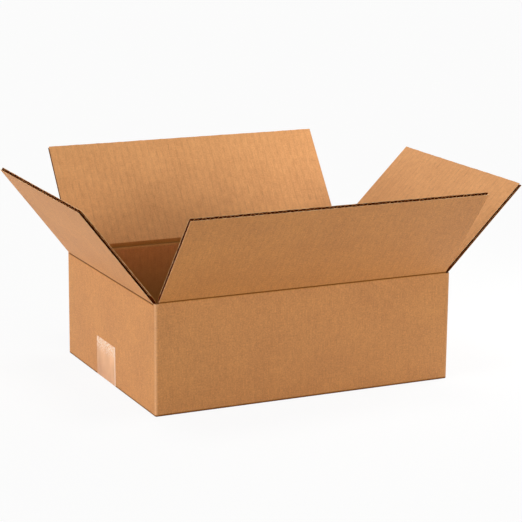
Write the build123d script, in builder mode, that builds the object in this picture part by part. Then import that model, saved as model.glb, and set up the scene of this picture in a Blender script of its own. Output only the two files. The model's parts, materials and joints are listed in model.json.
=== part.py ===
from build123d import *
from math import cos, floor, radians, sin, tan
import os

# An open, shallow regular slotted box of single-wall corrugated board, in millimetres.
# The origin is the middle of the underside. The long side runs along X and the front faces -Y.
# The bottom flaps are folded shut and taped. The four top flaps stand open, each on its own fold.

# Board: two liners with a waved medium glued between them
board = 3.6
liner = 0.35
medium = 0.25
flute_pitch = 7.8
flute_slope = 50.0

# Inside of the closed box
inside_length = 304.8
inside_width = 228.6
inside_depth = 97.0

# Corners and edges of the walls
corner_radius = 2.0
foot_radius = 1.2
slot_width = 8.0
slot_rise = 0.7

# Top folds: how deep each axis lies under the outer face, and how far the flaps swing
major_axis_inset = 1.2
minor_axis_inset = 0.6
swing_out = 150.0
swing_in = 90.0
fold_play = 1.0
bead_radius = 0.5
bead_clearance = 0.15
flap_clearance = 0.15
closing_clearance = 0.2
crushed_band = 8.0

# How far each top flap leans out from upright
front_lean = 39.0
right_lean = 45.3
back_lean = 36.4
left_lean = 38.1

# Bottom flaps
seam_gap = 1.0
floor_channel_depth = 12.0

# Glued tab of the maker's joint, inside the rear right corner
tab_width = 35.0
tab_thickness = 2.0
tab_taper = 12.0
tab_end_gap = 2.0

# Sealing tape along the bottom seam, with an end up each end wall
tape_width = 50.0
tape_thickness = 0.08
tape_offset = 9.5
tape_rise_left = 40.0
tape_rise_right = 43.0

# Outside sizes and levels that follow from the sizes above
outside_length = inside_length + 2 * board
outside_width = inside_width + 2 * board
floor_top = 2 * board
minor_fold_height = floor_top + inside_depth + board - minor_axis_inset
major_fold_height = (
    minor_fold_height + board - major_axis_inset + minor_axis_inset + closing_clearance
)
major_half = (outside_length - slot_width) / 2
minor_half = (outside_width - slot_width) / 2
major_reach = outside_width / 2 - major_axis_inset
minor_reach = outside_length / 2 - minor_axis_inset
flap_depth = major_reach - seam_gap / 2
major_fold = (major_axis_inset, major_half, major_reach, major_fold_height)
minor_fold = (minor_axis_inset, minor_half, minor_reach, minor_fold_height)
outer_bevel = swing_out / 2 + fold_play
inner_bevel = swing_in / 2 + fold_play
slot_floor = minor_fold_height + slot_rise
wall_shoulder = minor_fold_height - 2 * board


def outward(turn):
    """Level direction that a wall faces: 0 is the front, 90 the right end, 180 the back."""
    return Vector(sin(radians(turn)), -cos(radians(turn)), 0)


def along(turn):
    """Level direction of the fold at the top of that wall."""
    return Vector(cos(radians(turn)), sin(radians(turn)), 0)


def fold_plane(turn, reach, height, lean):
    """Plane across a top fold: x runs from the axis into the board, y up the flap."""
    face = outward(turn)
    into_board = Vector(0, 0, 1) * sin(radians(lean)) - face * cos(radians(lean))
    return Plane(origin=face * reach + Vector(0, 0, height), x_dir=into_board, z_dir=along(turn))


def flute_channel():
    """Section of one channel: the liner it lies on, two flanks, and three flats round the turn."""
    slope = radians(flute_slope)
    roof = board / 2 - liner
    turn_floor = medium - roof
    flank_offset = flute_pitch / 4 - medium / 2 / sin(slope)
    flank_foot = -flank_offset * tan(slope)
    turn_radius = (turn_floor - flank_foot) * cos(slope) / (1 - cos(slope))
    turn_centre = turn_floor + turn_radius
    roof_half = flank_offset + roof / tan(slope)
    turn_angles = (slope, slope / 3, -slope / 3, -slope)
    turn_points = [(turn_radius * sin(a), turn_centre - turn_radius * cos(a)) for a in turn_angles]
    with BuildSketch() as channel:
        with BuildLine():
            Polyline((-roof_half, roof), (roof_half, roof), *turn_points, close=True)
        make_face()
    return channel.sketch


def flute_places(half_width, upper):
    """Places of the channels along an edge, every second one turned to the other liner."""
    last = floor(half_width / (flute_pitch / 2))
    steps = [step for step in range(-last, last + 1) if (step % 2 == 0) == upper]
    return [Location((step * flute_pitch / 2, 0), 0 if upper else 180) for step in steps]


def fluted_edge(half_width):
    """All channels of a cut edge, centred on the middle of the board."""
    channel = flute_channel()
    with BuildSketch() as edge:
        with Locations(*flute_places(half_width, True)):
            add(channel)
        with Locations(*flute_places(half_width, False)):
            add(channel)
    return edge.sketch


def top_flap(turn, lean, axis_inset, half_width, reach, height):
    """A flap with its root bevelled to the fold axis and its flutes open at the free edge."""
    section = fold_plane(turn, reach, height, lean)
    free_edge = Plane(
        origin=section.origin + section.y_dir * flap_depth + section.x_dir * (board / 2 - axis_inset),
        x_dir=along(turn),
        z_dir=section.y_dir,
    )
    inner_side = board - axis_inset
    with BuildPart() as flap:
        with BuildSketch(section):
            with BuildLine():
                Polyline(
                    (0, 0),
                    (-axis_inset, axis_inset * tan(radians(outer_bevel))),
                    (-axis_inset, flap_depth),
                    (inner_side, flap_depth),
                    (inner_side, inner_side * tan(radians(inner_bevel))),
                    close=True,
                )
            make_face()
            Circle(bead_radius)
        extrude(amount=half_width - flap_clearance, both=True)
        with BuildSketch(free_edge):
            add(fluted_edge(half_width))
        extrude(amount=crushed_band - flap_depth, mode=Mode.SUBTRACT)
    return flap


def wall_top(turn, axis_inset, half_width, reach, height):
    """Top of one wall, bevelled on both sides of its fold, with a groove for the flap's bead."""
    section = fold_plane(turn, reach, height, 0)
    inner_side = board - axis_inset
    root = wall_shoulder - height
    with BuildPart() as top:
        with BuildSketch(section):
            with BuildLine():
                Polyline(
                    (0, 0),
                    (-axis_inset, -axis_inset * tan(radians(outer_bevel))),
                    (-axis_inset, root),
                    (inner_side, root),
                    (inner_side, -inner_side * tan(radians(inner_bevel))),
                    close=True,
                )
            make_face()
            Circle(bead_radius + bead_clearance, mode=Mode.SUBTRACT)
        extrude(amount=half_width, both=True)
    return top.part


def make_tape():
    """One strip along the bottom seam, let in by its own thickness, and up both end walls."""
    tall = 2 * max(tape_rise_left, tape_rise_right)
    with BuildPart() as tape:
        with BuildSketch(Plane.XZ.offset(tape_width / 2 - tape_offset)) as section:
            with Locations((0, tall / 2)):
                Rectangle(outside_length, tall)
            fillet(section.vertices().group_by(Axis.Y)[0], foot_radius)
            offset(amount=-tape_thickness, mode=Mode.SUBTRACT)
            with Locations((-outside_length / 2, tape_rise_left)):
                Rectangle(outside_length, tall, align=(Align.CENTER, Align.MIN), mode=Mode.SUBTRACT)
            with Locations((outside_length / 2, tape_rise_right)):
                Rectangle(outside_length, tall, align=(Align.CENTER, Align.MIN), mode=Mode.SUBTRACT)
        extrude(amount=-tape_width)
    return tape


def joint_tab():
    """Tab of the right end wall, glued flat inside the back wall, with tapered ends."""
    corner = inside_length / 2
    low = floor_top + tab_end_gap
    high = floor_top + inside_depth - tab_end_gap
    with BuildPart() as tab:
        with BuildSketch(Plane.XZ.offset(-inside_width / 2)):
            with BuildLine():
                Polyline(
                    (corner, low),
                    (corner, high),
                    (corner - tab_width, high - tab_taper),
                    (corner - tab_width, low + tab_taper),
                    close=True,
                )
            make_face()
        extrude(amount=tab_thickness)
    return tab.part


def make_body(tape):
    """Four walls, the folded bottom flaps and the glued tab, all from one sheet."""
    inner_flap_edge = minor_reach - flap_depth
    inner_flap_length = inside_length / 2 - inner_flap_edge
    inner_flap_middle = inner_flap_edge + inner_flap_length / 2
    end_slit = inside_length / 2 - major_half
    with BuildPart() as body:
        # Outer block with folded corners and feet, hollow above the floor
        with BuildSketch():
            RectangleRounded(outside_length, outside_width, corner_radius)
        extrude(amount=wall_shoulder)
        fillet(body.faces().sort_by(Axis.Z)[0].edges(), foot_radius)
        with BuildSketch(Plane.XY.offset(floor_top)):
            Rectangle(inside_length, inside_width)
        extrude(amount=wall_shoulder - floor_top, mode=Mode.SUBTRACT)

        # Inner pair of bottom flaps: the gap between them and the slits beside them
        with BuildSketch(Plane.XY.offset(board)):
            Rectangle(inside_length, inside_width)
            with Locations((-inner_flap_middle, 0), (inner_flap_middle, 0)):
                Rectangle(inner_flap_length, 2 * minor_half, mode=Mode.SUBTRACT)
        extrude(amount=board, mode=Mode.SUBTRACT)

        # Their free edges, with the flutes open
        for side in (-1, 1):
            edge = Plane((side * inner_flap_edge, 0, 1.5 * board), x_dir=(0, 1, 0), z_dir=(side, 0, 0))
            with BuildSketch(edge):
                add(fluted_edge(minor_half))
            extrude(amount=floor_channel_depth, mode=Mode.SUBTRACT)

        # Outer pair of bottom flaps: the seam between them and the slits at their ends
        with BuildSketch():
            Rectangle(2 * major_half, seam_gap)
            with Locations((-major_half - end_slit / 2, 0), (major_half + end_slit / 2, 0)):
                Rectangle(end_slit, inside_width)
        extrude(amount=board, mode=Mode.SUBTRACT)

        # Corner posts up to the slots, and the four wall tops between them
        with BuildSketch(Plane.XY.offset(wall_shoulder)):
            RectangleRounded(outside_length, outside_width, corner_radius)
            Rectangle(inside_length, inside_width, mode=Mode.SUBTRACT)
            Rectangle(2 * major_half, outside_width, mode=Mode.SUBTRACT)
            Rectangle(outside_length, 2 * minor_half, mode=Mode.SUBTRACT)
        extrude(amount=slot_floor - wall_shoulder)
        for turn in (0, 180):
            add(wall_top(turn, *major_fold))
        for turn in (90, -90):
            add(wall_top(turn, *minor_fold))

        add(joint_tab())
        add(tape.part, mode=Mode.SUBTRACT)
    return body


os.makedirs("parts", exist_ok=True)

bottom_tape = make_tape()
bottom_tape.part.label = "bottom_tape"
export_step(bottom_tape.part, "parts/bottom_tape.step")

box_body = make_body(bottom_tape)
box_body.part.label = "box_body"
export_step(box_body.part, "parts/box_body.step")

top_flaps = {
    "top_flap_front": (0, front_lean, *major_fold),
    "top_flap_right": (90, right_lean, *minor_fold),
    "top_flap_back": (180, back_lean, *major_fold),
    "top_flap_left": (-90, left_lean, *minor_fold),
}
for name, (turn, lean, axis_inset, half_width, reach, height) in top_flaps.items():
    flap = top_flap(turn, lean, axis_inset, half_width, reach, height)
    flap.part.label = name
    export_step(flap.part, f"parts/{name}.step")
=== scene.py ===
import json
import math

import bpy
import numpy as np
from mathutils import Matrix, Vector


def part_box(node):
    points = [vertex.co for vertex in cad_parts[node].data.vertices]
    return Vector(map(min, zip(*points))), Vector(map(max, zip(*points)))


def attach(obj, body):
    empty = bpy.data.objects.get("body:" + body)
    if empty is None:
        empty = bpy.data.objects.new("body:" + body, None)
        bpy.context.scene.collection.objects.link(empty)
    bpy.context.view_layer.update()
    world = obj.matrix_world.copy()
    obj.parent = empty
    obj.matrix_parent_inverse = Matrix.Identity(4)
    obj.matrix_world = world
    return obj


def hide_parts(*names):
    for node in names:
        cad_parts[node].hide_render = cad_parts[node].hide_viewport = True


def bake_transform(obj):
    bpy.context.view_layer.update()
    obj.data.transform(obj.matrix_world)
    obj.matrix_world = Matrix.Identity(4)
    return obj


# An open, shallow corrugated box. Metres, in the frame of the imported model.
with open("model.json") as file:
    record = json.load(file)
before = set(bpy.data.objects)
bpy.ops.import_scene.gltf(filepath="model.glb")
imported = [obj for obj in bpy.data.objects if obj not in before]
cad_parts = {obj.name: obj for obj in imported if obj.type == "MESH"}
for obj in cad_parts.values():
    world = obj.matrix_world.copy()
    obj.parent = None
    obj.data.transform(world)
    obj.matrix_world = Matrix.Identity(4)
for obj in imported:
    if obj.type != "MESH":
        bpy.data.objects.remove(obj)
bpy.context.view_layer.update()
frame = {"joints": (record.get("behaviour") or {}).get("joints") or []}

# Board. Liners and medium are a little thicker than real ones, so that the cut edges show them.
MM = 0.001
BOARD = 3.6 * MM
LINER = 0.4 * MM
MEDIUM = 0.42 * MM
MEDIUM_RECESS = 0.15 * MM
FLUTE_PITCH = 7.8 * MM
FLUTE_SQUARENESS = 1.5
STEPS_PER_FLUTE = 10
ROW_CROWDING = 0.8

# Unevenness: liners that dip between flutes, ragged free edges, bowed flaps and bellied walls
WASHBOARD = 0.08 * MM
WASHBOARD_REACH = 12 * MM
EDGE_SHORTFALL = 0.4 * MM
SHORT_RAGS = 0.12 * MM
SHORT_RAGS_SPAN = 0.012
LONG_RAGS = 0.1 * MM
SHORT_FLAP_BOW = 0.25 * MM
LONG_FLAP_BOW = -0.1 * MM
BOW_REACH = 70 * MM
BOW_SPAN = 0.31
EVEN_BOW = 1.3
WALL_BELLY = 0.35 * MM
END_WALL_SHARE = 0.6

# Sizes of the folds, slots and corners
FLAP_PLAY = 0.15 * MM
SLOT_WIDTH = 8.0 * MM
CRUSHED_BAND = 8.0 * MM
MAJOR_INSET = 1.2 * MM
MINOR_INSET = 0.6 * MM
RING_DROP = 3.2 * MM
SLOT_RISE = 0.7 * MM
CORE_DROP = 0.8 * MM
SEAM_GAP = 1.0 * MM
FOOT_RADIUS = 1.2 * MM
CORNER_RADIUS = 2.0 * MM
INNER_CORNER_RADIUS = 0.5 * MM
SMALLEST_RADIUS = 0.3 * MM
CORNER_POINTS = 9
SHARP_ANGLE = math.radians(35)

# Glued tab, and sealing tape with how far off the wall its faces lie
TAB_WIDTH = 35 * MM
TAB_TAPER = 12 * MM
TAB_THICKNESS = 2 * MM
TAB_SINK = 0.5 * MM
TAB_RISE = 2 * MM
TAB_DROP = 5 * MM
TAPE_OUTER_FACE = 0.08 * MM
TAPE_INNER_FACE = 0.02 * MM
TAPE_LET_IN = 0.05 * MM
TAPE_TURN = 3 * MM
TAPE_RISE_LEFT = 40 * MM

# Sizes of the folded box, read from the frame
body_low, body_high = (np.array(corner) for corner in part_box("box_body"))
LENGTH, WIDTH = (body_high - body_low)[:2]
INSIDE_LENGTH = LENGTH - 2 * BOARD
INSIDE_WIDTH = WIDTH - 2 * BOARD
FLOOR_TOP = 2 * BOARD
MAJOR_HALF = (LENGTH - SLOT_WIDTH) / 2
MINOR_HALF = (WIDTH - SLOT_WIDTH) / 2
JOINTS = {joint["child"]: joint for joint in frame["joints"]}
MINOR_FOLD = JOINTS["top_flap_left"]["pos_m"][2]
RING_TOP = MINOR_FOLD - RING_DROP
SLOT_FLOOR = MINOR_FOLD + SLOT_RISE
FLAP_DEPTH = WIDTH / 2 - MAJOR_INSET - SEAM_GAP / 2

# Look of a fold: turn from wall to flap, groove outside, channel inside, dark lines along both
# that are partly painted shade
FOLD_TURN = 1.6 * MM
GROOVE_DEPTH = 0.45 * MM
GROOVE_WIDTH = 0.36 * MM
CHANNEL_DEPTH = 0.9 * MM
CHANNEL_DROP = 1.1 * MM
CHANNEL_WIDTH = 1.6 * MM
CORE_INSET = 0.9 * MM
PLAY_TAPER = 2.0 * MM
MAJOR_CREASE = -1.1 * MM
MINOR_CREASE = 0.4 * MM
HIGHEST_LINE = -0.35 * MM
CREASE_WIDTH = 0.83 * MM
INNER_LINE = 0.6
INNER_LINE_DROP = 0.8 * MM
INNER_LINE_WIDTH = 0.4 * MM
SCORED_ABOVE = 0.2
FOLD_STEPS_PER_FLUTE = 4

# Pale wear with a painted highlight along the upright corners, and the dark line along the foot, a
# crease with painted contact shadow
WEAR_AND_HIGHLIGHT_WIDTH = 0.4 * MM
FOOT_LINE_HEIGHT = 0.6 * MM
FOOT_LINE_WIDTH = 1.1 * MM

# Finishes of the board's surfaces, as material numbers. The medium is painted near black, as shade
# in the flutes.
FACE, CUT, MEDIUM_IN_PAINTED_SHADE, INSIDE, MEDIUM_CUT, SCORED, SCORED_INSIDE = range(7)

# Third coordinate of the sheet, which gives each layer a grain of its own
OUTER_SIDE = 0.0
CORE_SIDE = 0.2
INNER_SIDE = 0.5
TAB_SIDE = 0.7
TAPE_SIDE = 9.0

# Walls in order round the box: outward direction, distance along the sheet of the wall's middle
WALLS = {
    "top_flap_back": ((0, 1, 0), LENGTH / 2),
    "top_flap_left": ((-1, 0, 0), LENGTH + WIDTH / 2),
    "top_flap_front": ((0, -1, 0), 1.5 * LENGTH + WIDTH),
    "top_flap_right": ((1, 0, 0), 2 * LENGTH + 1.5 * WIDTH),
}


# Curves, meshes and stretches of board


def smooth(x):
    """Smooth step from 0 to 1 as x goes from 0 to 1."""
    x = np.clip(x, 0, 1)
    return x * x * (3 - 2 * x)


def bell(x, width):
    """1 at nothing, falling away over the width on both sides."""
    return np.exp(-((x / width) ** 2))


def wander(along, seed, span=0.09):
    """A slow wave of size 1 along a line, different for each seed."""
    phases = np.random.default_rng(seed).uniform(0, 2 * np.pi, 4)
    usual_peak = 1.6
    total = np.zeros_like(along)
    for step, phase in enumerate(phases, start=1):
        total = total + np.sin(2 * np.pi * step * along / span / 2 + phase) / step
    return total / usual_peak


class Grid:
    """Rows of points, each with its place on the sheet and marks for pale wear with painted
    highlight, and for crush and crease lines that are partly painted shade.
    """

    def __init__(self, points, sheet, wear_and_highlight=0.0, crush_and_shade=0.0, crease_and_shade=0.0):
        self.points = points
        self.sheet = sheet
        flat = np.zeros(points.shape[:2])
        self.marks = np.stack([flat + wear_and_highlight, flat + crush_and_shade, flat + crease_and_shade], axis=-1)


class Mesh:
    """Closed slabs of board, gathered into one object."""

    def __init__(self):
        self.points = []
        self.sheet = []
        self.marks = []
        self.faces = []
        self.finishes = []
        self.count = 0

    def slab(self, outer, inner, finishes, wrap=False):
        """A slab between two grids, with the finishes of its outer face, inner face and edges."""
        rows, cols = outer.points.shape[:2]
        base = self.count
        for grid in (outer, inner):
            self.points.append(grid.points.reshape(-1, 3))
            self.sheet.append(grid.sheet.reshape(-1, 3))
            self.marks.append(grid.marks.reshape(-1, 3))
        index = np.arange(rows * cols).reshape(rows, cols)
        if wrap:
            index = np.concatenate([index, index[:, :1]], axis=1)
        quads = np.stack([index[:-1, :-1], index[:-1, 1:], index[1:, 1:], index[1:, :-1]], axis=-1)
        quads = quads.reshape(-1, 4)
        self.add_faces(quads + base, finishes[0])
        self.add_faces(quads[:, ::-1] + base + rows * cols, finishes[1])
        borders = [index[0, ::-1], index[-1, :]]
        if not wrap:
            borders += [index[:, 0], index[::-1, -1]]
        for line in borders:
            near, far = line + base, line + base + rows * cols
            rim = np.stack([near[:-1], near[1:], far[1:], far[:-1]], axis=-1)
            self.add_faces(rim, finishes[2])
        self.count += 2 * rows * cols

    def add_faces(self, quads, finish):
        """Faces by the numbers of their points, with one finish or a finish for each."""
        self.faces.append(quads)
        self.finishes.append(np.full(len(quads), finish))

    def build(self, name, materials):
        """The Blender object of all slabs, with its sheet and marks as attributes."""
        points = np.concatenate(self.points)
        faces = np.concatenate(self.faces)
        mesh = bpy.data.meshes.new(name)
        mesh.from_pydata(points.tolist(), [], faces.tolist())
        mesh.polygons.foreach_set("material_index", np.concatenate(self.finishes).astype(np.int32))
        mesh.polygons.foreach_set("use_smooth", np.ones(len(faces), bool))
        for label, values in (("sheet", self.sheet), ("marks", self.marks)):
            attribute = mesh.attributes.new(label, "FLOAT_VECTOR", "POINT")
            attribute.data.foreach_set("vector", np.concatenate(values).astype(np.float32).ravel())
        for material in materials:
            mesh.materials.append(material)
        mesh.set_sharp_from_angle(angle=SHARP_ANGLE)
        mesh.validate()
        piece = bpy.data.objects.new(name, mesh)
        bpy.context.scene.collection.objects.link(piece)
        return piece


class Panel:
    """A flat stretch of board: u runs along its fold, v away from it, w in from its outer face."""

    def __init__(self, origin, along, away, start, bow=0.0):
        self.origin = np.array(origin, float)
        self.along = np.array(along, float)
        self.away = np.array(away, float)
        self.inward = np.cross(self.away, self.along)
        self.start = start
        self.seed = int(start * 1000)
        self.bow = bow

    def grid(self, u, v, w, side):
        """Points with the slight bow of real board, which dies out at the fold."""
        reach = smooth((np.abs(v) - CRUSHED_BAND) / BOW_REACH)
        w = w + self.bow * reach * (EVEN_BOW + wander(u, self.seed, BOW_SPAN)) / 2
        points = (
            self.origin
            + u[..., None] * self.along
            + v[..., None] * self.away
            + w[..., None] * self.inward
        )
        sheet = np.stack([u + self.start, v, np.full(u.shape, side)], axis=-1)
        return Grid(points, sheet)


def flute_wave(turn):
    """Depth of the medium's middle in the board, and its slope, at each turn of the flutes."""
    swing = (BOARD - 2 * LINER - MEDIUM) / 2 / math.tanh(FLUTE_SQUARENESS)
    wave = np.tanh(FLUTE_SQUARENESS * np.cos(turn))
    steepness = 2 * np.pi / FLUTE_PITCH * swing * FLUTE_SQUARENESS
    return BOARD / 2 - swing * wave, steepness * (1 - wave**2) * np.sin(turn)


def ragged_edge(u, seed):
    """How far the free edge runs past its plain line, or mostly falls short of it."""
    short_rags = SHORT_RAGS * wander(u, seed, SHORT_RAGS_SPAN)
    long_rags = LONG_RAGS * wander(u, seed + 1)
    return short_rags + long_rags - EDGE_SHORTFALL


def fluted_panel(mesh, panel, half, start, depth, rows=16):
    """Two liners and the waved medium, open at the free edge and along the sides."""
    steps = int(2 * half / FLUTE_PITCH * STEPS_PER_FLUTE)
    u = np.linspace(-half, half, steps + 1)
    share = np.linspace(0, 1, rows) ** ROW_CROWDING
    grid_u = np.tile(u, (rows, 1))
    grid_v = start + share[:, None] * (depth + ragged_edge(u, panel.seed) - start)[None, :]
    turn = 2 * np.pi * (grid_u + panel.start) / FLUTE_PITCH
    settled = smooth((grid_v - start) / WASHBOARD_REACH)
    dip = WASHBOARD * (1 - np.cos(turn)) / 2 * settled
    rise = WASHBOARD * (1 + np.cos(turn)) / 2 * settled
    mesh.slab(
        panel.grid(grid_u, grid_v, dip, OUTER_SIDE),
        panel.grid(grid_u, grid_v, dip + LINER, OUTER_SIDE),
        (FACE, MEDIUM_IN_PAINTED_SHADE, CUT),
    )
    mesh.slab(
        panel.grid(grid_u, grid_v, BOARD - LINER - rise, INNER_SIDE),
        panel.grid(grid_u, grid_v, BOARD - rise, INNER_SIDE),
        (MEDIUM_IN_PAINTED_SHADE, INSIDE, CUT),
    )
    middle, slope = flute_wave(turn)
    length = np.sqrt(1 + slope**2)
    tilt = slope / length * MEDIUM / 2
    lift = MEDIUM / 2 / length
    recess = grid_v - MEDIUM_RECESS * share[:, None]
    mesh.slab(
        panel.grid(np.clip(grid_u + tilt, -half, half), recess, middle - lift, CORE_SIDE),
        panel.grid(np.clip(grid_u - tilt, -half, half), recess, middle + lift, CORE_SIDE),
        (MEDIUM_IN_PAINTED_SHADE, MEDIUM_IN_PAINTED_SHADE, MEDIUM_CUT),
    )


class Fold:
    """One top fold: its axis, the wall below it and how far its flap leans out from upright."""

    def __init__(self, name, inset, half, crease_at):
        joint = JOINTS[name]
        outward, self.start = WALLS[name]
        self.name = name
        self.inset = inset
        self.half = half
        self.crease_at = crease_at
        self.outward = np.array(outward, float)
        self.up = np.array([0, 0, 1.0])
        self.along = np.cross(self.up, self.outward)
        self.pivot = np.array(joint["pos_m"], float)
        self.lean = self.find_lean()
        self.away = self.up * math.cos(self.lean) + self.outward * math.sin(self.lean)
        self.inward = self.up * math.sin(self.lean) - self.outward * math.cos(self.lean)

    def find_lean(self):
        """The flap's lean, from how far its outer face reaches beyond the axis in the frame."""
        low, high = (np.array(corner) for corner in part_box(self.name))
        farthest = max(np.dot(low, self.outward), np.dot(high, self.outward))
        reach = farthest - np.dot(self.pivot, self.outward)
        radius = math.hypot(FLAP_DEPTH, self.inset)
        return math.asin(reach / radius) - math.atan2(self.inset, FLAP_DEPTH)

    def layer(self, v, depth, half, side, crush_and_shade, crease_and_shade):
        """Points over the fold at a depth in from its axis, turning from the wall to the flap."""
        turn = smooth((v - self.crease_at) / FOLD_TURN + 0.5) * self.lean
        on_flap = np.maximum(v, 0)[:, None] * self.away
        on_wall = np.minimum(v, 0)[:, None] * self.up
        middle = self.pivot + on_flap + on_wall
        inward = self.up * np.sin(turn)[:, None] - self.outward * np.cos(turn)[:, None]
        line = middle + inward * depth[:, None]
        steps = int(round(2 * self.half / FLUTE_PITCH)) * FOLD_STEPS_PER_FLUTE
        u = half[:, None] * np.linspace(-1, 1, steps + 1)[None, :]
        points = line[:, None, :] + u[..., None] * self.along
        down_sheet = np.tile(v[:, None], u.shape[1:])
        sheet = np.stack([u + self.start, down_sheet, np.full(u.shape, side)], axis=-1)
        return Grid(points, sheet, crush_and_shade=crush_and_shade[:, None], crease_and_shade=crease_and_shade[:, None])


def score_finish(marks, plain, scored, columns):
    """Finish of every face of a grid whose rows are marked as scored or plain."""
    return np.repeat(np.where(marks[:-1] + marks[1:] > SCORED_ABOVE, scored, plain), columns)


def fold_strip(mesh, fold, low):
    """Board of one fold: two liners over squashed medium, grooved outside and channelled inside,
    with dark lines that are partly painted shade.
    """
    near = np.array([0, 0.25, 0.5, 0.75, 1.0, 1.3, 1.7, 2.2, 2.8, 3.6, 4.8, 6.2]) * MM
    channel_at = fold.crease_at - CHANNEL_DROP
    beside_crease = [fold.crease_at - near, fold.crease_at + near]
    v = np.concatenate([[low, CRUSHED_BAND], *beside_crease, channel_at - near[:6]])
    v = np.unique(np.round(np.clip(v, low, CRUSHED_BAND), 6))
    outer = GROOVE_DEPTH * bell(v - fold.crease_at, GROOVE_WIDTH) - fold.inset
    inner = BOARD - fold.inset - CHANNEL_DEPTH * bell(v - channel_at, CHANNEL_WIDTH)
    half = fold.half - FLAP_PLAY * smooth((v - low) / PLAY_TAPER - 0.5)
    core_half = half - CORE_INSET
    # Dark crease line outside: fibre darkened by crushing, with painted shade in the groove
    crease = bell(v - min(fold.crease_at, HIGHEST_LINE), CREASE_WIDTH)
    # Band of the inside channel, darkened partly as painted shade
    channel_crush_and_shade = bell(v - channel_at, CHANNEL_WIDTH)
    # Dark line under the inside channel: painted shade
    inner_crease_and_shade = INNER_LINE * bell(v - channel_at + INNER_LINE_DROP, INNER_LINE_WIDTH)
    nothing = np.zeros_like(v)
    face = fold.layer(v, outer, half, OUTER_SIDE, nothing, crease)
    columns = face.points.shape[1] - 1
    mesh.slab(
        face,
        fold.layer(v, outer + LINER, half, OUTER_SIDE, nothing, nothing),
        (score_finish(crease, FACE, SCORED, columns), MEDIUM_IN_PAINTED_SHADE, CUT),
    )
    mesh.slab(
        fold.layer(v, inner - LINER, half, INNER_SIDE, nothing, nothing),
        fold.layer(v, inner, half, INNER_SIDE, channel_crush_and_shade, inner_crease_and_shade),
        (MEDIUM_IN_PAINTED_SHADE, score_finish(channel_crush_and_shade, INSIDE, SCORED_INSIDE, columns), MEDIUM_CUT),
    )
    mesh.slab(
        fold.layer(v, outer + LINER, core_half, CORE_SIDE, nothing, nothing),
        fold.layer(v, inner - LINER, core_half, CORE_SIDE, nothing, nothing),
        (MEDIUM_IN_PAINTED_SHADE, MEDIUM_IN_PAINTED_SHADE, MEDIUM_IN_PAINTED_SHADE),
    )


# Materials


def linear(red, green, blue):
    """An sRGB colour of 0 to 255 as linear light."""
    values = [channel / 255 for channel in (red, green, blue)]
    return tuple(v / 12.92 if v <= 0.04045 else ((v + 0.055) / 1.055) ** 2.4 for v in values)


def shade(colour, amount, depth=1.0):
    """A linear colour made lighter or darker by a factor, and richer with a depth above 1."""
    return tuple(channel**depth * amount for channel in colour)


class Graph:
    """A new material with short calls for its nodes."""

    def __init__(self, name):
        self.material = bpy.data.materials.new(name)
        self.material.use_nodes = True
        self.nodes = self.material.node_tree.nodes
        self.links = self.material.node_tree.links
        self.nodes.clear()
        self.output = self.nodes.new("ShaderNodeOutputMaterial")
        self.shader = self.nodes.new("ShaderNodeBsdfPrincipled")
        self.links.new(self.shader.outputs["BSDF"], self.output.inputs["Surface"])

    def attribute(self, name):
        node = self.nodes.new("ShaderNodeAttribute")
        node.attribute_name = name
        return node.outputs["Vector"]

    def scaled(self, vector, scale):
        node = self.nodes.new("ShaderNodeMapping")
        node.inputs["Scale"].default_value = scale
        self.links.new(vector, node.inputs["Vector"])
        return node.outputs["Vector"]

    def part(self, vector, axis):
        node = self.nodes.new("ShaderNodeSeparateXYZ")
        self.links.new(vector, node.inputs["Vector"])
        return node.outputs[axis]

    def noise(self, vector, scale, detail=3.0, roughness=0.5):
        node = self.nodes.new("ShaderNodeTexNoise")
        node.inputs["Scale"].default_value = scale
        node.inputs["Detail"].default_value = detail
        node.inputs["Roughness"].default_value = roughness
        self.links.new(vector, node.inputs["Vector"])
        return node.outputs["Fac"]

    def spread(self, value, low, high, to_low=0.0, to_high=1.0):
        node = self.nodes.new("ShaderNodeMapRange")
        node.inputs["From Min"].default_value = low
        node.inputs["From Max"].default_value = high
        node.inputs["To Min"].default_value = to_low
        node.inputs["To Max"].default_value = to_high
        self.links.new(value, node.inputs["Value"])
        return node.outputs["Result"]

    def maths(self, operation, *values):
        node = self.nodes.new("ShaderNodeMath")
        node.operation = operation
        for socket, value in zip(node.inputs, values):
            self.give(socket, value)
        return node.outputs["Value"]

    def weighted(self, start, *terms):
        """A start value plus each noise's distance from its middle, times its weight."""
        total = start
        for noise, weight in terms:
            centred = self.maths("ADD", total, -weight / 2)
            total = self.maths("MULTIPLY_ADD", noise, weight, centred)
        return total

    def mix(self, factor, first, second):
        node = self.nodes.new("ShaderNodeMix")
        node.data_type = "RGBA"
        for name, value in (("Factor", factor), ("A", first), ("B", second)):
            self.give(node.inputs[name], value)
        return node.outputs["Result"]

    def give(self, socket, value):
        if isinstance(value, (int, float)):
            socket.default_value = value
        elif isinstance(value, tuple):
            socket.default_value = (*value, 1.0)
        else:
            self.links.new(value, socket)

    def bump(self, height, distance, strength=1.0):
        node = self.nodes.new("ShaderNodeBump")
        node.inputs["Distance"].default_value = distance
        node.inputs["Strength"].default_value = strength
        self.links.new(height, node.inputs["Height"])
        self.links.new(node.outputs["Normal"], self.shader.inputs["Normal"])

    def finish(self, colour, roughness, specular):
        self.give(self.shader.inputs["Base Color"], colour)
        self.shader.inputs["Roughness"].default_value = roughness
        self.shader.inputs["Specular IOR Level"].default_value = specular
        return self.material


def pulp_tone(graph, sheet, *fibres):
    """Light and dark of the pulp: clouds and blotches, and the fibres with their weights."""
    clouds = graph.noise(sheet, scale=22)
    blotches = graph.noise(sheet, scale=150, roughness=0.6)
    return graph.weighted(0.5, (clouds, 0.5), (blotches, 0.5), *fibres)


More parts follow.
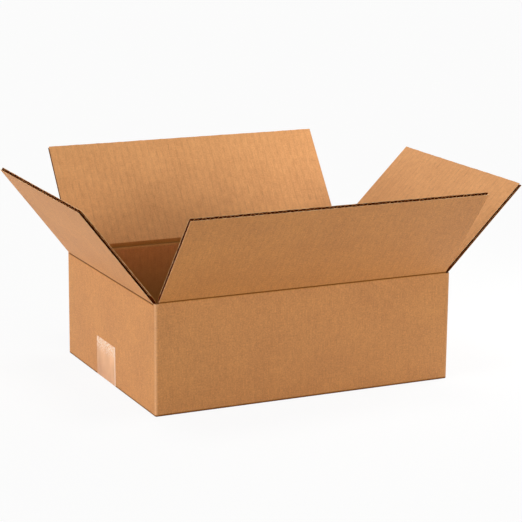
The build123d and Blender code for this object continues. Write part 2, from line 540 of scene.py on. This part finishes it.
def painted_inside_shade(graph, down, inside_shade_strength):
    """Painted shade on the inside walls: nothing on a flap, and darker towards the foot of a wall.
    """
    shade_below_fold = graph.spread(down, -55 * MM, -3 * MM, to_low=inside_shade_strength, to_high=0.05 * inside_shade_strength)
    return graph.maths("MULTIPLY", shade_below_fold, graph.maths("LESS_THAN", down, 0.0))


def glued_lines(graph, sheet, side):
    """Lines where the medium is glued to this side of the board: 1 outside, -1 inside."""
    turn = graph.maths("MULTIPLY", graph.part(sheet, "X"), 2 * math.pi / FLUTE_PITCH)
    wave = graph.maths("COSINE", turn)
    return graph.spread(graph.maths("MULTIPLY", wave, side), 0.2, 1.0)


def short_cracks(graph, sheet, down, glued):
    """Short dashes along the flutes, in patches, mostly on the flaps."""
    stretched = graph.scaled(sheet, (1, 0.12, 1))
    short = graph.spread(graph.noise(stretched, scale=900, detail=2), 0.55, 0.63)
    patches = graph.spread(graph.noise(sheet, scale=26, detail=2), 0.35, 0.65, to_low=0.4)
    on_flap = graph.spread(down, 0, 6 * MM, to_low=0.3)
    cracks = graph.maths("MULTIPLY", graph.maths("MULTIPLY", short, patches), on_flap)
    return graph.maths("MULTIPLY", cracks, graph.spread(glued, 0, 1, to_low=0.3))


def kraft_material(name, base, gloss, side, ribs, graining, streaking, dashes, inside_shade_strength):
    """Brown kraft liner: pulp, fibre grain, flute lines, pale wear with a painted highlight, crush
    and crease lines darkened partly by painted shade, and painted shade low on the inside walls.
    """
    graph = Graph(name)
    sheet = graph.attribute("sheet")
    marks = graph.attribute("marks")
    down = graph.part(sheet, "Y")
    grain = graph.noise(sheet, scale=620, detail=4, roughness=0.75)
    streaks = graph.noise(graph.scaled(sheet, (1, 0.14, 1)), scale=700, roughness=0.6)
    tone = pulp_tone(graph, sheet, (grain, graining), (streaks, streaking))
    colour = graph.mix(tone, shade(base, 0.77, 1.10), shade(base, 1.21, 0.91))
    # Painted shade: the inside walls turn darker and olive towards the foot
    colour = graph.mix(painted_inside_shade(graph, down, inside_shade_strength), colour, INSIDE_SHADE_KRAFT)
    glued = glued_lines(graph, sheet, side)
    colour = graph.mix(graph.maths("MULTIPLY", glued, ribs), colour, shade(base, 0.5, 1.1))
    cracks = short_cracks(graph, sheet, down, glued)
    colour = graph.mix(graph.maths("MULTIPLY", cracks, dashes), colour, shade(base, 0.4))
    # Pale wear on the upright corners, with a painted highlight
    wear_and_highlight = graph.maths("MULTIPLY", graph.part(marks, "X"), 0.25)
    colour = graph.mix(wear_and_highlight, colour, WEAR_AND_HIGHLIGHT_KRAFT)
    # Inside channel: fibre darkened by crushing, with painted shade
    colour = graph.mix(graph.part(marks, "Y"), colour, CRUSH_AND_SHADE_KRAFT)
    # Dark crease lines: fibre darkened by crushing, with painted shade in the creases
    colour = graph.mix(graph.part(marks, "Z"), colour, CREASE_AND_SHADE_LINE)
    graph.bump(graph.maths("ADD", grain, streaks), distance=0.06 * MM, strength=0.7)
    return graph.finish(colour, roughness=0.6, specular=gloss)


def fibre_material(name, base, light):
    """Cut or hidden board: soft, fuzzy fibre, lighter where it has frayed."""
    graph = Graph(name)
    sheet = graph.attribute("sheet")
    fuzz = graph.noise(sheet, scale=2400, roughness=0.7)
    frays = graph.noise(sheet, scale=210, roughness=0.7)
    graph.bump(fuzz, distance=0.08 * MM)
    colour = graph.mix(graph.weighted(0.5, (fuzz, 1.2), (frays, 3.0)), base, light)
    return graph.finish(colour, roughness=1.0, specular=0.0)


def tape_material():
    """Clear tape over board: paler and glossy, with haze and a painted sheen that fades down from
    its end and across it, a painted highlight along one edge, and small bubbles near its end.
    """
    graph = Graph("clear_tape")
    sheet = graph.attribute("sheet")
    from_end = graph.part(sheet, "Y")
    from_left = graph.part(sheet, "X")
    haze = graph.noise(graph.scaled(sheet, (1, 0.6, 1)), scale=90, roughness=0.6)
    cloudy = graph.spread(haze, 0.3, 0.7, to_low=-0.25, to_high=0.25)
    # Painted sheen: paler near the tape's end and towards one side
    painted_sheen_from_end = graph.spread(from_end, 3 * MM, 42 * MM, to_low=0.75, to_high=-0.15)
    painted_sheen_across = graph.spread(from_left, 0, 50 * MM, to_high=0.45)
    haze_and_painted_sheen = graph.maths("ADD", graph.maths("ADD", painted_sheen_from_end, cloudy), painted_sheen_across)
    colour = graph.mix(haze_and_painted_sheen, TAPE_CLEAR, TAPE_HAZE_AND_SHEEN)
    # Painted highlight: a pale line along one edge of the tape
    rim = graph.maths("MULTIPLY", graph.spread(from_left, 47.4 * MM, 48.6 * MM), 0.8)
    colour = graph.mix(rim, colour, TAPE_BUBBLE_AND_HIGHLIGHT)
    specks = graph.spread(graph.noise(sheet, scale=480, detail=2), 0.46, 0.56)
    near_end = graph.spread(from_end, 4 * MM, 15 * MM, to_low=1.0, to_high=0.0)
    bubbles = graph.maths("MULTIPLY", specks, near_end)
    colour = graph.mix(bubbles, colour, TAPE_BUBBLE_AND_HIGHLIGHT)
    graph.bump(graph.maths("ADD", haze, bubbles), distance=0.08 * MM, strength=0.6)
    graph.shader.inputs["Coat Weight"].default_value = 0.2
    graph.shader.inputs["Coat Roughness"].default_value = 0.15
    return graph.finish(colour, roughness=0.3, specular=0.5)


# Walls and closed bottom


def corner_angles(number):
    """Directions round one corner. Corner 0 is the rear right, and they run on by the back."""
    return np.radians(90 * number + np.linspace(0, 90, CORNER_POINTS))


def corner_signs(number):
    """Which way a corner lies from the middle, along X and Y."""
    return np.array([(1, 1), (-1, 1), (-1, -1), (1, -1)][number])


def corner_place(number):
    """Distance along the sheet of a corner's middle."""
    return (0, LENGTH, LENGTH + WIDTH, 2 * LENGTH + WIDTH)[number]


def directions(angles):
    """Level directions at these angles, as X and Y."""
    return np.stack([np.cos(angles), np.sin(angles)], axis=1)


def ring_plan(length, width, radius):
    """Plan of the walls, with each point's distance along the sheet and its mark of pale wear with
    painted highlight.
    """
    near = np.array([0.5, 1.1, 1.9, 3.0, 4.5]) * MM
    half = np.array([length, width]) / 2 - radius
    plan, places, wear_and_highlight = [], [], []
    for number in range(4):
        angles = corner_angles(number)
        arc = half * corner_signs(number) + radius * directions(angles)
        plan.append(arc)
        places.append(corner_place(number) + CORNER_RADIUS * (angles - angles.mean()))
        wear_and_highlight.append(np.ones(len(arc)))
        side = 2 * half[number % 2]
        steps = (80, 60)[number % 2]
        between = np.linspace(near[-1], side - near[-1], steps)[1:-1]
        distance = np.concatenate([near, between, side - near[::-1]])
        ahead = np.array([(-1, 0), (0, -1), (1, 0), (0, 1)][number])
        plan.append(arc[-1] + distance[:, None] * ahead)
        places.append(corner_place(number) + radius + distance)
        # Wear and painted highlight fade away from each corner
        wear_and_highlight.append(bell(np.minimum(distance, side - distance), WEAR_AND_HIGHLIGHT_WIDTH))
    return np.concatenate(plan), np.concatenate(places), np.concatenate(wear_and_highlight)


def wall_swell(plan, amount):
    """Each wall bellies out a little between its corners."""
    x, y = plan[:, 0], plan[:, 1]
    wall_zone = BOARD + 1 * MM
    long_wall = np.abs(y) > WIDTH / 2 - wall_zone
    end_wall = np.abs(x) > LENGTH / 2 - wall_zone
    out_y = np.sign(y) * amount * np.cos(np.pi * x / LENGTH) * long_wall
    out_x = np.sign(x) * amount * END_WALL_SHARE * np.cos(np.pi * y / WIDTH) * end_wall
    return np.stack([out_x, out_y], axis=1)


def wall_belly(z):
    """How far the middle of a long wall bellies out at a height."""
    return WALL_BELLY * np.sin(math.pi * z / RING_TOP)


def wall_ring(mesh):
    """The four walls in one ring, rounded under at the foot."""
    foot = np.array([0, 0.18, 0.36, 0.6, 0.84, 1.2, 1.6, 2.1, 2.8]) * MM
    heights = np.concatenate([foot, np.linspace(4 * MM, RING_TOP, 14)])
    inner_plan, places, wear_and_highlight = ring_plan(INSIDE_LENGTH, INSIDE_WIDTH, INNER_CORNER_RADIUS)
    outer_rows, inner_rows = [], []
    for z in heights:
        under = max(FOOT_RADIUS - z, 0)
        inset = FOOT_RADIUS - math.sqrt(FOOT_RADIUS**2 - under**2)
        plan = ring_plan(LENGTH - 2 * inset, WIDTH - 2 * inset, CORNER_RADIUS - inset)[0]
        outer = plan + wall_swell(plan, wall_belly(z))
        inner = inner_plan + wall_swell(inner_plan, wall_belly(z))
        outer_rows.append(np.column_stack([outer, np.full(len(plan), z)]))
        inner_rows.append(np.column_stack([inner, np.full(len(plan), z)]))
    sheet = np.stack(np.broadcast_arrays(places[None, :], heights[:, None] - MINOR_FOLD), axis=-1)
    outer_sheet = np.concatenate([sheet, np.zeros(sheet.shape[:2] + (1,))], axis=-1)
    # Dark line along the foot: the bottom fold's crease, with painted contact shadow under the
    # foot
    foot_crease_and_contact_shadow = bell(heights - FOOT_LINE_HEIGHT, FOOT_LINE_WIDTH)
    inner_sheet = outer_sheet + np.array([0, 0, INNER_SIDE])
    mesh.slab(
        Grid(np.array(outer_rows), outer_sheet, wear_and_highlight=wear_and_highlight[None, :], crease_and_shade=foot_crease_and_contact_shadow[:, None]),
        Grid(np.array(inner_rows), inner_sheet),
        (score_finish(foot_crease_and_contact_shadow, FACE, SCORED, len(wear_and_highlight)), INSIDE, FACE),
        wrap=True,
    )


def corner_line(number, depth):
    """Plan of one corner between its two slots, at a depth under the outer face."""
    signs = corner_signs(number)
    angles = corner_angles(number)
    radius = max(CORNER_RADIUS - depth, SMALLEST_RADIUS)
    centre = (np.array([LENGTH, WIDTH]) / 2 - depth - radius) * signs
    arc = centre + radius * directions(angles)
    x_end = np.array([MAJOR_HALF * signs[0], (WIDTH / 2 - depth) * signs[1]])
    y_end = np.array([(LENGTH / 2 - depth) * signs[0], MINOR_HALF * signs[1]])
    first, last = (y_end, x_end) if number % 2 == 0 else (x_end, y_end)
    return np.concatenate([[first], arc, [last]])


def corner_layer(number, depth, top, side, wear_and_highlight=0.0):
    """One upright layer of a corner, from the top of the ring to this height."""
    line = corner_line(number, depth)
    steps = np.concatenate([[0], np.cumsum(np.linalg.norm(np.diff(line, axis=0), axis=1))])
    places = corner_place(number) + steps - steps.mean()
    rows = [np.column_stack([line, np.full(len(line), z)]) for z in (RING_TOP, top)]
    points = np.array(rows)
    down = points[..., 2] - MINOR_FOLD
    sheet = np.stack([np.tile(places, (2, 1)), down, np.full(down.shape, side)], axis=-1)
    return Grid(points, sheet, wear_and_highlight=wear_and_highlight)


def corner_post(mesh, number):
    """The folded corner up to the floor of the slots: two liners, and a core sunk between them."""
    # The corner's arc carries the pale wear and painted highlight
    arc_wear_and_highlight = np.ones(CORNER_POINTS + 2)
    arc_wear_and_highlight[[0, -1]] = 0.0
    mesh.slab(
        corner_layer(number, 0, SLOT_FLOOR, OUTER_SIDE, arc_wear_and_highlight),
        corner_layer(number, LINER, SLOT_FLOOR, OUTER_SIDE),
        (FACE, MEDIUM_IN_PAINTED_SHADE, CUT),
    )
    mesh.slab(
        corner_layer(number, BOARD - LINER, SLOT_FLOOR, INNER_SIDE),
        corner_layer(number, BOARD, SLOT_FLOOR, INNER_SIDE),
        (MEDIUM_IN_PAINTED_SHADE, INSIDE, CUT),
    )
    mesh.slab(
        corner_layer(number, LINER, SLOT_FLOOR - CORE_DROP, CORE_SIDE),
        corner_layer(number, BOARD - LINER, SLOT_FLOOR - CORE_DROP, CORE_SIDE),
        (MEDIUM_IN_PAINTED_SHADE, MEDIUM_IN_PAINTED_SHADE, MEDIUM_IN_PAINTED_SHADE),
    )


def bottom_flaps(mesh):
    """Outer pair that meets at the seam, and inner pair that leaves a gap in the middle."""
    # Places on the sheet that no wall has, so that each flap has a grain of its own
    outer_start, inner_start = 3, 6
    outer_reach = (INSIDE_WIDTH - SEAM_GAP) / 2
    inner_reach = FLAP_DEPTH + MINOR_INSET - BOARD
    for side in (-1, 1):
        hinge = (0, side * INSIDE_WIDTH / 2, 0)
        outer_flap = Panel(hinge, (side, 0, 0), (0, -side, 0), outer_start + side)
        fluted_panel(mesh, outer_flap, MAJOR_HALF, 0, outer_reach, rows=8)
        hinge = (side * INSIDE_LENGTH / 2, 0, BOARD)
        inner_flap = Panel(hinge, (0, -side, 0), (-side, 0, 0), inner_start + side)
        fluted_panel(mesh, inner_flap, MINOR_HALF, 0, inner_reach, rows=10)


def glued_tab(mesh):
    """Tapered tab of the right end wall, glued inside the back wall."""
    across = np.linspace(0, 1, 10)
    rows = np.linspace(0, 1, 12)
    low = FLOOR_TOP + TAB_RISE
    high = MINOR_FOLD - TAB_DROP
    taper = TAB_TAPER * across
    x = np.tile(INSIDE_LENGTH / 2 - across * TAB_WIDTH, (len(rows), 1))
    z = (low + taper)[None, :] + rows[:, None] * (high - low - 2 * taper)[None, :]
    sheet = np.stack([x, z - MINOR_FOLD, np.full(x.shape, TAB_SIDE)], axis=-1)
    grids = []
    for y in (INSIDE_WIDTH / 2 - TAB_THICKNESS, INSIDE_WIDTH / 2 + TAB_SINK):
        points = np.stack([x, np.full(x.shape, y), z], axis=-1)
        grids.append(Grid(points, sheet))
    mesh.slab(*grids, (INSIDE, INSIDE, CUT))


def build_walls():
    """Walls, corners, closed bottom and glued tab, as one piece."""
    mesh = Mesh()
    wall_ring(mesh)
    for number in range(4):
        corner_post(mesh, number)
    bottom_flaps(mesh)
    glued_tab(mesh)
    walls = mesh.build("box_walls", BOARD_FINISH)
    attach(walls, "box")
    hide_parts("box_body")


# Top flaps and tape


def build_flap(fold):
    """One top flap and the squashed fold that it hangs on."""
    panel_mesh = Mesh()
    bow = SHORT_FLAP_BOW if fold.inset == MINOR_INSET else LONG_FLAP_BOW
    root = fold.pivot - fold.inward * fold.inset
    panel = Panel(root, fold.along, fold.away, fold.start, bow)
    fluted_panel(panel_mesh, panel, fold.half - FLAP_PLAY, CRUSHED_BAND, FLAP_DEPTH)
    board = panel_mesh.build(fold.name + "_board", BOARD_FINISH)
    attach(board, fold.name)
    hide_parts(fold.name)
    fold_mesh = Mesh()
    fold_strip(fold_mesh, fold, RING_TOP - fold.pivot[2])
    crease = fold_mesh.build(fold.name + "_fold", BOARD_FINISH)
    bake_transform(crease)


def tape_line(rise_left, rise_right):
    """Side view of the tape: down the left end wall, under the box and up the right end wall."""
    half = LENGTH / 2
    arc = np.radians(np.linspace(0, 90, 7))
    turn_x = FOOT_RADIUS * (1 - np.cos(arc))
    turn_z = FOOT_RADIUS * (1 - np.sin(arc))
    left = [(-half, z) for z in np.linspace(rise_left, FOOT_RADIUS, 24)[:-1]]
    left += list(zip(turn_x - half, turn_z))
    right = list(zip(half - turn_x[::-1], turn_z[::-1]))
    right += [(half, z) for z in np.linspace(FOOT_RADIUS, rise_right, 24)[1:]]
    return np.array(left + right)


def build_tape():
    """One strip under the seam with an end up each end wall."""
    low, high = (np.array(corner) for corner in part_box("bottom_tape"))
    line = tape_line(TAPE_RISE_LEFT, high[2])
    tangent = np.gradient(line, axis=0)
    tangent /= np.linalg.norm(tangent, axis=1)[:, None]
    normal = np.column_stack([tangent[:, 1], -tangent[:, 0]])
    on_wall = np.clip(line[:, 1] / TAPE_TURN, 0, 1)
    across = np.linspace(high[1], low[1], 21)
    run = np.concatenate([[0], np.cumsum(np.linalg.norm(np.diff(line, axis=0), axis=1))])
    width = np.tile((high[1] - across)[:, None], (1, len(line)))
    along = np.tile(run, (len(across), 1))
    sheet = np.stack([width, along, np.full(width.shape, TAPE_SIDE)], axis=-1)
    grids = []
    for lift, under in ((TAPE_OUTER_FACE, 0.0), (TAPE_INNER_FACE, TAPE_LET_IN)):
        offset = line + normal * (on_wall * lift)[:, None]
        x, y = np.meshgrid(offset[:, 0], across)
        swell = END_WALL_SHARE * wall_belly(offset[:, 1]) * np.cos(math.pi * y / WIDTH)
        x = x + np.sign(x) * swell
        z = np.tile(offset[:, 1] + under, (len(across), 1))
        grids.append(Grid(np.stack([x, y, z], axis=-1), sheet))
    mesh = Mesh()
    mesh.slab(*grids, (0, 0, 0))
    tape = mesh.build("sealing_tape", [tape_material()])
    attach(tape, "box")
    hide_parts("bottom_tape")


# Colours and finishes


KRAFT = linear(200, 131, 58)
INNER_KRAFT = linear(221, 157, 97)
# Pale wear and painted highlight along the upright corners
WEAR_AND_HIGHLIGHT_KRAFT = linear(232, 180, 130)
# Dark crease lines, partly painted shade
CREASE_AND_SHADE_LINE = linear(96, 52, 20)
# Inside channel colour, partly painted shade
CRUSH_AND_SHADE_KRAFT = linear(196, 152, 88)
# Olive brown of the painted shade low on the inside walls
INSIDE_SHADE_KRAFT = linear(122, 103, 52)
TAPE_CLEAR = linear(206, 136, 66)
# Paler colour of the haze and painted sheen; the bubble colour also paints the edge highlight
TAPE_HAZE_AND_SHEEN = linear(246, 181, 114)
TAPE_BUBBLE_AND_HIGHLIGHT = linear(254, 222, 186)
# inside_shade_strength sets the painted shade low on the inside walls
OUTSIDE = dict(side=1, ribs=0.04, graining=2.1, streaking=0.7, dashes=0.2, inside_shade_strength=0.0)
INSIDE_FACE = dict(side=-1, ribs=0.09, graining=1.3, streaking=0.6, dashes=0.3, inside_shade_strength=0.78)
BOARD_FINISH = [
    kraft_material("kraft_liner", KRAFT, gloss=0.8, **OUTSIDE),
    fibre_material("cut_board_edge", linear(206, 138, 82), linear(255, 216, 166)),
    # Hidden medium and liner backs painted near black: painted shade in the flute channels
    fibre_material("fluting_in_painted_shade", linear(74, 24, 3), linear(104, 42, 8)),
    kraft_material("kraft_liner_inside", INNER_KRAFT, gloss=0.4, **INSIDE_FACE),
    fibre_material("fluting_edge", linear(150, 74, 26), linear(238, 162, 98)),
    kraft_material("scored_liner", KRAFT, gloss=0.15, **OUTSIDE),
    kraft_material("scored_liner_inside", INNER_KRAFT, gloss=0.0, **INSIDE_FACE),
]

build_walls()
for fold in (
    Fold("top_flap_front", MAJOR_INSET, MAJOR_HALF, MAJOR_CREASE),
    Fold("top_flap_back", MAJOR_INSET, MAJOR_HALF, MAJOR_CREASE),
    Fold("top_flap_left", MINOR_INSET, MINOR_HALF, MINOR_CREASE),
    Fold("top_flap_right", MINOR_INSET, MINOR_HALF, MINOR_CREASE),
):
    build_flap(fold)
build_tape()


# Floor, light and camera


def build_floor():
    """A plain floor, about as white as the backdrop where no shadow falls on it."""
    bpy.ops.mesh.primitive_plane_add(size=FLOOR_SIZE, location=(0, 0, -FLOOR_DROP))
    floor = bpy.context.object
    floor.name = "studio_floor"
    graph = Graph("studio_white")
    graph.finish(linear(250, 250, 250), roughness=0.9, specular=0.0)
    glow = graph.nodes.new("ShaderNodeEmission")
    glow.inputs["Strength"].default_value = 1.0
    mixer = graph.nodes.new("ShaderNodeMixShader")
    seen = background_rays(graph.nodes, graph.links)
    graph.links.new(graph.maths("MULTIPLY", seen, FLOOR_GLOW), mixer.inputs[0])
    graph.links.new(graph.shader.outputs[0], mixer.inputs[1])
    graph.links.new(glow.outputs[0], mixer.inputs[2])
    graph.links.new(mixer.outputs[0], graph.output.inputs[0])
    floor.data.materials.append(graph.material)


def background_rays(nodes, links):
    """1 for rays that see the background: from the camera, in gloss and through clear things."""
    path = nodes.new("ShaderNodeLightPath")
    total = path.outputs["Is Camera Ray"]
    for name in ("Is Glossy Ray", "Is Transmission Ray"):
        larger = nodes.new("ShaderNodeMath")
        larger.operation = "MAXIMUM"
        links.new(total, larger.inputs[0])
        links.new(path.outputs[name], larger.inputs[1])
        total = larger.outputs[0]
    return total


def build_world(ambient_level):
    """About white where it is seen, and only a faint even light on the object."""
    world = bpy.data.worlds.new("studio")
    bpy.context.scene.world = world
    world.use_nodes = True
    nodes, links = world.node_tree.nodes, world.node_tree.links
    nodes.clear()
    output = nodes.new("ShaderNodeOutputWorld")
    mixer = nodes.new("ShaderNodeMixShader")
    links.new(background_rays(nodes, links), mixer.inputs[0])
    for socket, strength in ((1, ambient_level), (2, BACKDROP)):
        background = nodes.new("ShaderNodeBackground")
        background.inputs["Color"].default_value = (1, 1, 1, 1)
        background.inputs["Strength"].default_value = strength
        links.new(background.outputs[0], mixer.inputs[socket])
    links.new(mixer.outputs[0], output.inputs[0])


def frame_rows(azimuth, elevation):
    """Right, up and back directions of something that looks at the box from this side."""
    a, e = math.radians(azimuth), math.radians(elevation)
    back = np.array([math.sin(a) * math.cos(e), -math.cos(a) * math.cos(e), math.sin(e)])
    right = np.array([math.cos(a), math.sin(a), 0.0])
    return right, np.cross(back, right), back


def place_object(thing, right, up, back, place):
    """Turns and moves a camera or light, and adds it to the scene."""
    columns = np.column_stack([right, up, back, place])
    thing.matrix_world = Matrix(np.vstack([columns, [0, 0, 0, 1]]).tolist())
    bpy.context.scene.collection.objects.link(thing)


def even_light(name, azimuth, elevation, width, level, colour):
    """A wide, even light from one side. A level of 1 lights a facing surface to its own colour."""
    light = bpy.data.lights.new(name, "SUN")
    light.color = colour
    light.angle = math.radians(width)
    light.energy = math.pi * level
    place_object(bpy.data.objects.new(name, light), *frame_rows(azimuth, elevation), (0, 0, 2))


def near_light(name, azimuth, elevation, distance, size, level):
    """A square panel close to the box, of this level at the box's middle."""
    light = bpy.data.lights.new(name, "AREA")
    light.size = size
    light.energy = (math.pi * distance) ** 2 * level
    right, up, back = frame_rows(azimuth, elevation)
    place_object(bpy.data.objects.new(name, light), right, up, back, back * distance)


def build_camera():
    """Camera found from the corners of the box in the photograph."""
    camera_data = bpy.data.cameras.new("camera")
    camera_data.sensor_width = 36
    camera_data.lens = FOCAL_PIXELS / IMAGE_SIZE * camera_data.sensor_width
    camera_data.clip_start = 0.05
    camera_data.clip_end = 50
    camera = bpy.data.objects.new("camera", camera_data)
    right, up, back = frame_rows(CAMERA_AZIMUTH, CAMERA_ELEVATION)
    roll = math.radians(CAMERA_ROLL)
    rolled_right = math.cos(roll) * right + math.sin(roll) * up
    rolled_up = math.cos(roll) * up - math.sin(roll) * right
    sideways, upward, backward = CAMERA_OFFSET
    place = sideways * rolled_right + upward * rolled_up + backward * back
    place_object(camera, rolled_right, rolled_up, back, place)
    bpy.context.scene.camera = camera


FLOOR_SIZE = 12
FLOOR_DROP = 0.2 * MM
FLOOR_GLOW = 0.93
BACKDROP = 0.97
COOL_WHITE = (1.0, 1.05, 1.22)
WARM_WHITE = (1.0, 0.99, 0.9)
IMAGE_SIZE = 522
FOCAL_PIXELS = 1904.66
CAMERA_AZIMUTH = -25.41
CAMERA_ELEVATION = 13.36
CAMERA_ROLL = 0.55
CAMERA_OFFSET = (7.07 * MM, 105.68 * MM, 1932.85 * MM)

build_floor()
build_world(ambient_level=0.03)
even_light("key_left", azimuth=-78, elevation=10, width=18, level=0.69, colour=COOL_WHITE)
even_light("front", azimuth=18, elevation=9, width=18, level=0.235, colour=WARM_WHITE)
even_light("overhead", azimuth=0, elevation=90, width=20, level=0.36, colour=WARM_WHITE)
near_light("fill_right", azimuth=88, elevation=31, distance=0.58, size=0.25, level=0.46)
build_camera()
bpy.context.scene.view_settings.view_transform = "Standard"
